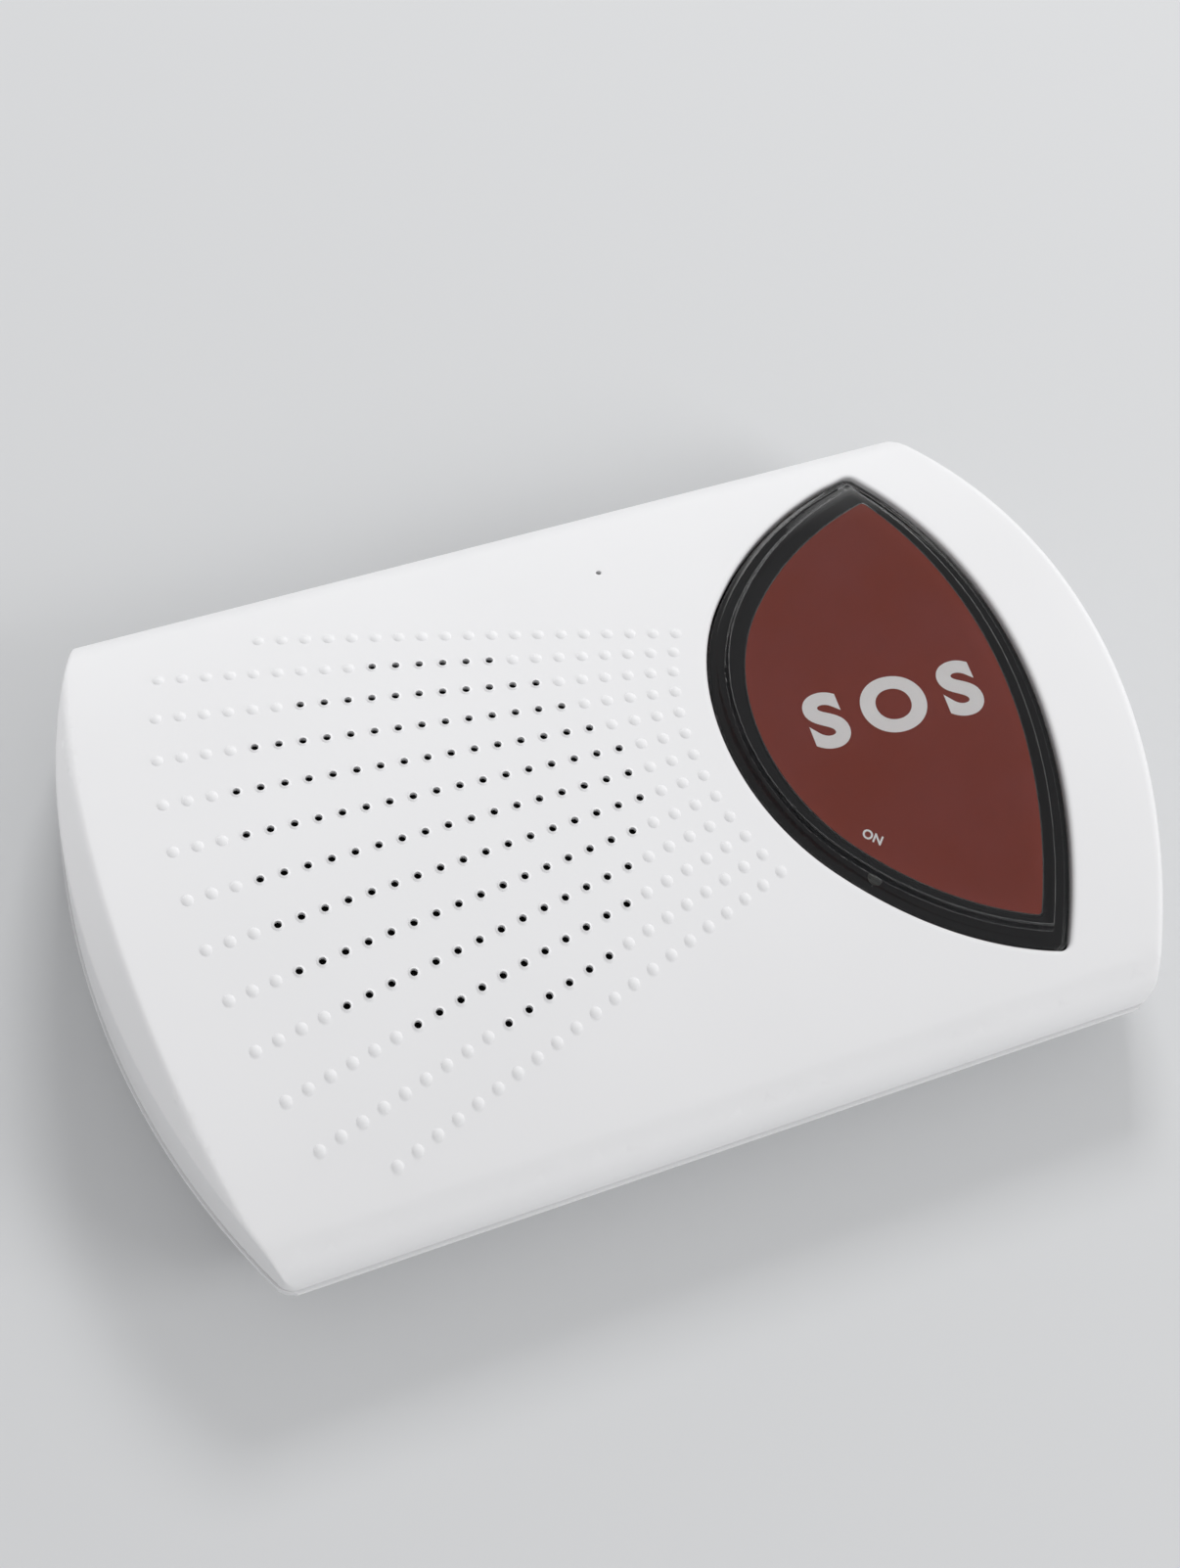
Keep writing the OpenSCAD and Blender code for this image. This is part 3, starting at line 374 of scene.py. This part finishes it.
def roof(x, y):
    """The roof before its end edges are rounded."""
    across = abs(y)
    if across < TANGENT_Y:
        over = crown(y)
    else:
        over = EDGE_Z + math.sqrt(max(EDGE_R ** 2 - (across - EDGE_Y) ** 2, 0))
    bowed = BEVEL_N * (BEVEL_R - math.sqrt(BEVEL_R ** 2 - y * y))
    bevel = BEVEL_Z + BEVEL_RISE * (x - BEVEL_X) - bowed
    share = min(max(0.5 + 0.5 * (bevel - over) / RIDGE_SOFT, 0), 1)
    return bevel * (1 - share) + over * share - RIDGE_SOFT * share * (1 - share)


def shell_height(x, y):
    """The roof with its rounded end edges."""
    inset, nx, ny = end_inset(x, y)
    fade = min(1.0, 0.05 + max(HALF_WIDTH - abs(y), 0) / 2.5)
    radius = END_EDGE_R[1 if x > 0 else -1] * fade
    if inset >= radius:
        return roof(x, y)
    inset = max(inset, 0)
    x0, y0 = x + nx * inset, y + ny * inset
    slope = max((roof(x0 - 0.4 * nx, y0 - 0.4 * ny) - roof(x0, y0)) / 0.4, 0)
    tilt = math.atan(slope)
    reach = radius * (1 - math.sin(tilt))
    if inset >= reach:
        return roof(x, y)
    rise = math.sqrt(radius ** 2 - (radius - inset) ** 2)
    return roof(x0, y0) + slope * reach - radius * math.cos(tilt) + rise


print(f"roof at the middle {shell_height(0, 0):.2f} mm, at the left edge "
      f"{shell_height(-92.4, 0):.2f} mm")

# %% [markdown]
# ## The leaf of the button
# The opening and the printed label are leaves: a round nose to the left, two long flanks, a
# bowed right side and two small tips. Each is a chain of arcs that touch, and an inset only
# changes their radii. In the photograph both are turned a little, the opening by a degree and
# the label, which is stuck on by hand, by a little more.

# %% Leaf loops
OPENING = dict(nose=18.5, nose_r=42, half=40, flank_r=71.5, right=76.2, right_r=120, tip=2.0,
               turn=-1.0, pivot=76.2)
LABEL = dict(nose=24.8, nose_r=35.6, half=42, flank_r=65.9, right=71.3, right_r=112.3, tip=0.8,
             turn=-2.3, pivot=48.05)


def leaf_loop(nose, nose_r, half, flank_r, right, right_r, tip, turn, pivot, inset=0.0):
    """A leaf drawn in by inset and turned about the pivot, anticlockwise from its right side."""
    tip = max(tip - inset, 0.4)
    nose_x = nose + nose_r
    flank_x = nose_x + (flank_r - nose_r) * math.cos(math.radians(half))
    flank_y = (flank_r - nose_r) * math.sin(math.radians(half))
    right_x = right - right_r
    a, b = flank_r - inset - tip, right_r - inset - tip
    dx = flank_x - right_x
    dd = math.hypot(dx, flank_y)
    m = (b * b - a * a + dd * dd) / (2 * dd)
    h = math.sqrt(b * b - m * m)
    # the upper tip: on the right arc, and on the flank that swings about the point below
    tx = right_x + (m * dx + h * flank_y) / dd
    ty = (h * dx - m * flank_y) / dd
    alpha = math.degrees(math.atan2(ty, tx - right_x))
    beta = math.degrees(math.atan2(ty + flank_y, tx - flank_x))
    loop = arc(right_x, 0, right_r - inset, -alpha, alpha, 44)
    loop += arc(tx, ty, tip, alpha, beta, 8)
    loop += arc(flank_x, -flank_y, flank_r - inset, beta, 180 - half, 44)
    loop += arc(nose_x, 0, nose_r - inset, 180 - half, 180 + half, 36)
    loop += arc(flank_x, flank_y, flank_r - inset, 180 + half, 360 - beta, 44)
    loop += arc(tx, -ty, tip, -beta, -alpha, 8)
    c, s = math.cos(math.radians(turn)), math.sin(math.radians(turn))
    return [(pivot + (x - pivot) * c - y * s, (x - pivot) * s + y * c) for x, y in loop]


def within(loop, x, y):
    """Whether a point lies inside a closed loop."""
    inside = False
    for (x0, y0), (x1, y1) in zip(loop, loop[1:] + loop[:1]):
        if (y0 > y) != (y1 > y) and x < (x1 - x0) * (y - y0) / (y1 - y0) + x0:
            inside = not inside
    return inside


print(len(leaf_loop(**OPENING)), "points in a leaf loop")

# %% [markdown]
# ## A skin over loops and points
# The roof carries rings round nearly three hundred dots, the rings of a leaf and the rings of
# its own outline. No single bmesh operator joins such rings neatly, so the plan is cut into
# triangles by Blender's own Delaunay routine, the one behind the knife tools, and every point
# already has its height. Loops marked open stay empty, and their rims are then extruded down.

# %% Skin helper
def at_height(loop, height):
    return [(x, y, height(x, y)) for x, y in loop]


def skin(bm, loops, loose):
    """Adds a sheet. loops are (points, open) pairs and loose are points between them."""
    points, lines, owner = [], [], []
    for number, (loop, is_open) in enumerate(loops):
        first, count = len(points), len(loop)
        points += loop
        lines += [(first + i, first + (i + 1) % count) for i in range(count)]
        owner += [number if is_open else -1] * count
    points += loose
    owner += [-1] * len(loose)
    flat = [Vector(p[:2]) for p in points]
    _, _, faces, source, _, _ = delaunay_2d_cdt(flat, lines, [], 0, 1e-6)
    made = [bm.verts.new(points[ids[0]]) for ids in source]
    rim = [owner[ids[0]] for ids in source]
    for corners in faces:
        owners = {rim[i] for i in corners}
        if len(owners) > 1 or -1 in owners:
            bm.faces.new([made[i] for i in corners])
    spare = [v for v in made if not v.link_faces]
    bmesh.ops.delete(bm, geom=spare, context="VERTS")
    return [v for v in made if v.is_valid]


def rims(bm, verts, test):
    """The open edges among these vertices whose middle passes the test."""
    mine = set(verts)
    return [e for e in bm.edges if e.is_boundary and e.verts[0] in mine
            and test((e.verts[0].co + e.verts[1].co) / 2)]


def pull(bm, edges, place):
    """Extrudes open edges and puts each new vertex where place(co) says."""
    out = bmesh.ops.extrude_edge_only(bm, edges=edges)
    new = [g for g in out["geom"] if isinstance(g, bmesh.types.BMVert)]
    for v in new:
        v.co = place(v.co)
    return [g for g in out["geom"] if isinstance(g, bmesh.types.BMEdge) and g.is_boundary], new


def to_object(bm, name, slot, body, sharp=38):
    """Closes a bmesh made in millimetres into a piece that rides on a body."""
    bmesh.ops.remove_doubles(bm, verts=bm.verts, dist=1e-4)
    bmesh.ops.recalc_face_normals(bm, faces=bm.faces)
    bmesh.ops.scale(bm, vec=(MM,) * 3, verts=bm.verts)
    limit = math.radians(sharp)
    for face in bm.faces:
        face.smooth = True
    for edge in bm.edges:
        edge.smooth = edge.calc_face_angle(0) < limit
    open_edges = sum(1 for e in bm.edges if not e.is_manifold)
    mesh = bpy.data.meshes.new(name)
    bm.to_mesh(mesh)
    bm.free()
    mesh.materials.append(FINISHES[slot])
    piece = bpy.data.objects.new(name, mesh)
    bpy.context.collection.objects.link(piece)
    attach(piece, body)
    print(f"{name}: {len(mesh.polygons)} faces, {open_edges} open edges")
    return piece


# %% [markdown]
# ## The dots of the speaker grille
# Thirteen rows fan out from a point near the right end, 3.1 degrees apart, with a dot every
# 4 mm. Each dot is a low blister, 2 mm wide and 0.4 mm high. Those in front
# of the speaker have a hole drilled through. A flat ring round each blister keeps its soft
# shading from running out over the roof.

# %% Where the dots are
FAN_X, START_X, START_R, ROW_ANGLE, PITCH = 90.0, 58.4, 46.1, 3.1, 4.0
DRILLED_X, DRILLED_R = -33.0, 34.6
BLISTER_R, BLISTER_HIGH, HOLE_R, DOT_STEPS = 1.04, 0.42, 0.65, 14
BALL_R = (BLISTER_R ** 2 + BLISTER_HIGH ** 2) / (2 * BLISTER_HIGH)
MIC = (12.05, 42.0, 0.5)
# a drilled hole is narrow for the depth of its throat and then flares towards the inside
THROAT, FLARE_R = 0.7, 1.5
# how far the loose points of the roof keep from the middle of a dot and of the microphone hole
DOT_SPACE, FLARE_SPACE, MIC_SPACE = 1.7, 1.8, 1.4

dots = []
for row in range(13):
    angle = math.radians((row - 6) * ROW_ANGLE)
    along = FAN_X - START_X
    start = along * math.cos(angle) + math.sqrt(START_R ** 2 - (along * math.sin(angle)) ** 2)
    for step in range({0: 19, 12: 21}.get(row, 23)):
        reach = start + PITCH * step
        x, y = FAN_X - reach * math.cos(angle), -reach * math.sin(angle)
        drilled = 0 < row < 12 and math.hypot(x - DRILLED_X, y) < DRILLED_R
        dots.append((x, y, drilled))
print(len(dots), "dots,", sum(d[2] for d in dots), "of them drilled")


def blister(x, y, away):
    """The roof's height with a blister on it, at this distance from its middle."""
    lift = math.sqrt(BALL_R ** 2 - away ** 2) - (BALL_R - BLISTER_HIGH) if away < BLISTER_R else 0
    return roof(x, y) + lift


def dot_rings(x, y, drilled):
    """Rings round a dot as (points, open) pairs, and the point on its top."""
    found = []
    for radius in (1.28, BLISTER_R, 0.9, 0.76) + ((HOLE_R,) if drilled else (0.5, 0.25)):
        round_it = arc(x, y, radius, 0, 360, DOT_STEPS)
        ring = [(px, py, blister(px, py, radius)) for px, py in round_it]
        found.append((ring, drilled and radius == HOLE_R))
    return found, [] if drilled else [(x, y, blister(x, y, 0))]


# %% [markdown]
# ## The top shell
# Rings of the outline are placed where the 11 mm edge turns by equal angles, so the roll-over
# is even. The wall goes straight down to the shadow gap, and a second, plainer sheet 2.4 mm
# below closes the shell from inside.

# %% Top shell
WALL = 2.4
GAP_TOP, GAP_DEEP, PARTING = 14.0, 0.8, 13.6
EDGE_FILLET = 0.8
edge_steps = [EDGE_R * (1 - math.sin(math.radians(a))) for a in (90, 84, 78, 72, 66, 60, 54)]
guard = leaf_loop(**OPENING, inset=-1.7)


def lip_height(away):
    """The roof's height beside the opening, with a soft edge."""
    drop = EDGE_FILLET - math.sqrt(max(EDGE_FILLET ** 2 - max(EDGE_FILLET - away, 0) ** 2, 0))
    return lambda x, y: roof(x, y) - drop


def clear_of_dots(x, y, space):
    return all((x - dx) ** 2 + (y - dy) ** 2 > space * space for dx, dy, _ in dots)


rows = [3.0 * i for i in range(-17, 18)]
rows += [side * (EDGE_Y + EDGE_R * math.sin(math.radians(a))) for side in (-1, 1)
         for a in (27, 30, 36, 42, 48)]
loose = []
for y in rows:
    for x in [5.0 * i for i in range(-18, 19)]:
        if end_inset(x, y)[0] > 2.6 and not within(guard, x, y) and clear_of_dots(x, y, DOT_SPACE) \
                and math.hypot(x - MIC[0], y - MIC[1]) > MIC_SPACE:
            loose.append((x, y, shell_height(x, y)))
for i in range(-24, 25):
    y = 2.0 * i
    over = crown(y)
    ridge = BEVEL_X + (over - BEVEL_Z
                       + BEVEL_N * (BEVEL_R - math.sqrt(BEVEL_R ** 2 - y * y))) / BEVEL_RISE
    for shift in (-1.4, -0.8, -0.45, -0.15, 0.15, 0.45, 0.8, 1.4):
        if end_inset(ridge + shift, y)[0] > 0.3:
            loose.append((ridge + shift, y, shell_height(ridge + shift, y)))

loops = [(at_height(plan_loop(d), shell_height), False) for d in edge_steps]
for away in (1.6, 1.2, 0.8, 0.5, 0.28, 0.12, 0.03, 0.0):
    ring = at_height(leaf_loop(**OPENING, inset=-away), lip_height(away))
    loops.append((ring, away == 0.0))
for radius in (1.0, 0.62, MIC[2]):
    sink = 0.05 if radius == MIC[2] else 0.0
    ring = at_height(arc(*MIC[:2], radius, 0, 360, 16), lambda x, y: roof(x, y) - sink)
    loops.append((ring, radius == MIC[2]))
for dot in dots:
    rings, top = dot_rings(*dot)
    loops += rings
    loose += top

shell = bmesh.new()
outer = skin(shell, loops, loose)


def on_outline(co):
    return min(end_inset(co.x, co.y)[0], HALF_WIDTH - abs(co.y)) < 0.2


def near_opening(co):
    return co.x > 14 or math.hypot(co.x - MIC[0], co.y - MIC[1]) < 2


def ceiling(x, y):
    return roof(x, y) - WALL


inner_loops = [(at_height(plan_loop(WALL), ceiling), False),
               (at_height(leaf_loop(**OPENING), ceiling), True),
               (at_height(arc(*MIC, 0, 360, 16), ceiling), True)]
inner_loops += [(at_height(arc(x, y, FLARE_R, 0, 360, DOT_STEPS), ceiling), True)
                for x, y, drilled in dots if drilled]
inner_loose = [(x, y, ceiling(x, y)) for x in range(-85, 90, 6) for y in range(-54, 55, 4)
               if end_inset(x, y)[0] > 4 and not within(guard, x, y) and clear_of_dots(x, y, FLARE_SPACE)
               and math.hypot(x - MIC[0], y - MIC[1]) > MIC_SPACE]
outer_rim = rims(shell, outer, on_outline)
hole_rims = rims(shell, outer, lambda co: not on_outline(co))


def stepped(inset, z):
    """Where a point of the outline goes when its ring is drawn in and lowered."""
    def place(co):
        away, nx, ny = end_inset(co.x, co.y)
        if away > 0.01 + (GAP_DEEP if inset > GAP_DEEP else 0):
            return Vector((co.x, math.copysign(HALF_WIDTH - inset, co.y), z))
        return Vector((co.x + nx * (away - inset), co.y + ny * (away - inset), z))
    return place


def lowered(z):
    return lambda co: Vector((co.x, co.y, z))


edge, _ = pull(shell, outer_rim, lowered(GAP_TOP))
edge, _ = pull(shell, edge, stepped(GAP_DEEP, GAP_TOP))
edge, _ = pull(shell, edge, lowered(PARTING))
edge, _ = pull(shell, edge, stepped(WALL, PARTING))
inner_ring = {(round(x, 3), round(y, 3)): z for x, y, z in inner_loops[0][0]}


def up_to_ceiling(co):
    near = min(inner_ring, key=lambda p: (p[0] - co.x) ** 2 + (p[1] - co.y) ** 2)
    return Vector((near[0], near[1], inner_ring[near]))


pull(shell, edge, up_to_ceiling)


def flared(co):
    """From the rim of a drilled hole outwards, on the ceiling of the shell."""
    x, y, _ = min(dots, key=lambda d: (d[0] - co.x) ** 2 + (d[1] - co.y) ** 2)
    wide = FLARE_R / math.hypot(co.x - x, co.y - y)
    px, py = x + (co.x - x) * wide, y + (co.y - y) * wide
    return Vector((px, py, ceiling(px, py)))


drilled_rims = [e for e in hole_rims if not near_opening((e.verts[0].co + e.verts[1].co) / 2)]
other_rims = [e for e in hole_rims if e not in set(drilled_rims)]
pull(shell, other_rims, lambda co: Vector((co.x, co.y, ceiling(co.x, co.y))))
throat, _ = pull(shell, drilled_rims, lambda co: Vector((co.x, co.y, roof(co.x, co.y) - THROAT)))
pull(shell, throat, flared)
skin(shell, inner_loops, inner_loose)
bmesh.ops.remove_doubles(shell, verts=shell.verts, dist=0.002)
top_shell = to_object(shell, "top_shell", "white_shell", "base")
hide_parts("top_cover")

# %% [markdown]
# ## The clear cap
# A thick polycarbonate cap covers the whole button. Its outer flange lies a little below the
# roof and has a low bead along its middle, then it steps up to a plateau that stands proud.
# The bead, the step and the rounded edges catch the lines that run round the button. A pocket
# from below takes the printed label.

# %% Cap
CARRIER_R, LABEL_R, CAP_UP = 125.9, 127.05, 1.2
# the film and the carrier reach this far into the cap, as if bonded, so no air gap shows
BOND = 0.01
CAP_PROFILE = [  # inset from the opening, height against the roof
    (0.40, -1.10), (0.45, -0.97), (0.58, -0.86), (0.80, -0.80), (1.30, -0.80), (1.42, -0.72),
    (1.60, -0.66), (1.78, -0.72), (1.90, -0.80), (2.90, -0.80),
    (3.10, -0.78), (3.22, -0.68), (3.30, -0.50), (3.42, 0.60), (3.48, 0.88), (3.60, 1.06),
    (3.80, 1.17), (4.05, 1.20), (5.50, 1.20), (8.00, 1.20)]


def leaf_at(shape, inset, radius):
    return at_height(leaf_loop(**shape, inset=inset), lambda x, y: crown(y, radius))


def grid_in(loop, radius, step=3.0):
    """Points on the crown of this radius, inside a loop."""
    found = []
    for i in range(int(90 / step)):
        for j in range(int(120 / step)):
            x, y = 10 + i * step, -60 + j * step
            if within(loop, x, y):
                found.append((x, y, crown(y, radius)))
    return found


cap = bmesh.new()
rings = [(leaf_at(OPENING, inset, CROWN_R + up), False) for inset, up in CAP_PROFILE]
top = skin(cap, rings, grid_in(leaf_loop(**OPENING, inset=9.5), CROWN_R + CAP_UP))
rim = rims(cap, top, lambda co: True)
pull(cap, rim, lambda co: Vector((co.x, co.y, crown(co.y, CARRIER_R - BOND))))
pocket = leaf_at(LABEL, -0.15, CARRIER_R - BOND)
under = skin(cap, [(leaf_at(OPENING, CAP_PROFILE[0][0], CARRIER_R - BOND), False),
                   (pocket, True)], [])
pocket_rim = rims(cap, under, lambda co: within(leaf_loop(**LABEL, inset=-0.5), co.x, co.y))
pull(cap, pocket_rim, lambda co: Vector((co.x, co.y, crown(co.y, LABEL_R - BOND))))
skin(cap, [(leaf_at(LABEL, -0.15, LABEL_R - BOND), False)],
     grid_in(leaf_loop(**LABEL, inset=1.0), LABEL_R - BOND))
clear_cap = to_object(cap, "clear_cap", "clear_cap", "help_button")
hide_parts("button_lens")

# %% [markdown]
# ## The printed label
# A thin printed film lies in the pocket of the cap. It is made again here so that it follows
# the crown smoothly.

# %% Label
FILM_THICK = 0.14
film = bmesh.new()
face = skin(film, [(leaf_at(LABEL, 0.1, LABEL_R), False)],
            grid_in(leaf_loop(**LABEL, inset=1.0), LABEL_R))
pull(film, rims(film, face, lambda co: True),
     lambda co: Vector((co.x, co.y, crown(co.y, LABEL_R - FILM_THICK))))
skin(film, [(leaf_at(LABEL, 0.1, LABEL_R - FILM_THICK), False)],
     grid_in(leaf_loop(**LABEL, inset=1.0), LABEL_R - FILM_THICK))
printed_label = to_object(film, "printed_label", "red_print", "help_button")
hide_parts("button_label")

# %% [markdown]
# ## White letters on the label
# The words on the real label aren't copied. Three plain capital letters of the general
# distress call take the place of the large word, and a small ON stands by the light. Text is
# made a mesh first, then cut into narrow strips so that it can bend with the crown.

# %% Letters
def letters(name, words, middle, turn, size, spacing, weight):
    """Words lying on the label: middle and size in mm, turn in degrees."""
    font = bpy.data.curves.new(name, "FONT")
    font.body, font.align_x, font.align_y = words, "CENTER", "CENTER"
    font.space_character, font.offset = spacing, weight
    holder = bpy.data.objects.new(name, font)
    bpy.context.collection.objects.link(holder)
    bpy.context.view_layer.update()
    flat = bpy.data.meshes.new_from_object(holder)
    bpy.data.objects.remove(holder)
    bm = bmesh.new()
    bm.from_mesh(flat)
    bpy.data.meshes.remove(flat)
    bmesh.ops.remove_doubles(bm, verts=bm.verts, dist=1e-5)
    low = min(v.co.y for v in bm.verts)
    tall = max(v.co.y for v in bm.verts) - low
    left, right = min(v.co.x for v in bm.verts), max(v.co.x for v in bm.verts)
    centre = Vector(((left + right) / 2, low + tall / 2, 0))
    bmesh.ops.translate(bm, vec=-centre, verts=bm.verts)
    bmesh.ops.scale(bm, vec=(size[0] / (right - left), size[1] / tall, 1), verts=bm.verts)
    bmesh.ops.rotate(bm, matrix=Matrix.Rotation(math.radians(turn), 3, "Z"), verts=bm.verts)
    bmesh.ops.translate(bm, vec=(middle[0], middle[1], 0), verts=bm.verts)
    lowest = math.floor(min(v.co.y for v in bm.verts))
    for step in range(1, 40):
        bmesh.ops.bisect_plane(bm, geom=bm.verts[:] + bm.edges[:] + bm.faces[:],
                               plane_co=(0, lowest + 0.5 * step, 0), plane_no=(0, 1, 0))
    top = bm.faces[:]
    grown = bmesh.ops.extrude_face_region(bm, geom=top)
    for v in [g for g in grown["geom"] if isinstance(g, bmesh.types.BMVert)]:
        v.co.z = 0.03
    for v in bm.verts:
        v.co.z += crown(v.co.y, LABEL_R + 0.003)
    piece = to_object(bm, name, "white_ink", "help_button")
    return piece


# middle and size in mm and turn in degrees, then the spacing and the weight of the strokes
letters("large_letters", "SOS", (49.8, -1.2), -2.5, (32.5, 10.8), 1.45, 0.045)
letters("small_letters", "ON", (36.6, -22.6), -43.0, (3.6, 1.7), 1.05, 0.03)
